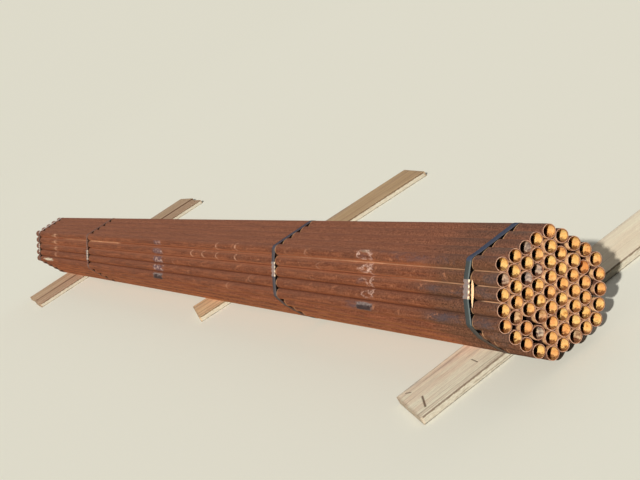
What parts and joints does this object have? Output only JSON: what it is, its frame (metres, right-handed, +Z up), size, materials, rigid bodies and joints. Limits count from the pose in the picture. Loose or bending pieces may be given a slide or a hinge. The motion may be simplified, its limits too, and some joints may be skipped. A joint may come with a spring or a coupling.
{
  "type": "bundle of iron pipes",
  "caption": "Long bundle of rusted steel pipes packed in a hexagon, held by crimped steel straps and lying on plank bearers.",
  "frame": {"origin": "on the ground, at the middle of the whole bundle's length and width", "axes": "+X along the pipes towards the near end, +Y towards the rear, +Z up"},
  "size_m": [6.7197, 1.5348, 0.3631],
  "materials": {
    "pipe_steel": "rusted, matt",
    "strap_steel": "blued, worn",
    "seal_steel": "dull zinc with rust",
    "plank_wood": "weathered, rough sawn"
  },
  "bodies": {
    "root": {"pipe_row_1": "pipe_steel", "pipe_row_2": "pipe_steel", "pipe_row_3": "pipe_steel", "pipe_row_4": "pipe_steel", "pipe_row_5": "pipe_steel", "pipe_row_6": "pipe_steel", "pipe_row_7": "pipe_steel", "pipe_row_8": "pipe_steel", "pipe_row_9": "pipe_steel", "strap_1": "strap_steel", "strap_2": "strap_steel", "strap_3": "strap_steel", "strap_4": "strap_steel", "seal_1": "seal_steel", "seal_2": "seal_steel", "seal_3": "seal_steel", "seal_4": "seal_steel", "bearer_near": "plank_wood", "bearer_mid": "plank_wood", "bearer_far": "plank_wood", "bearer_far_2": "plank_wood"}
  },
  "joints": []
}
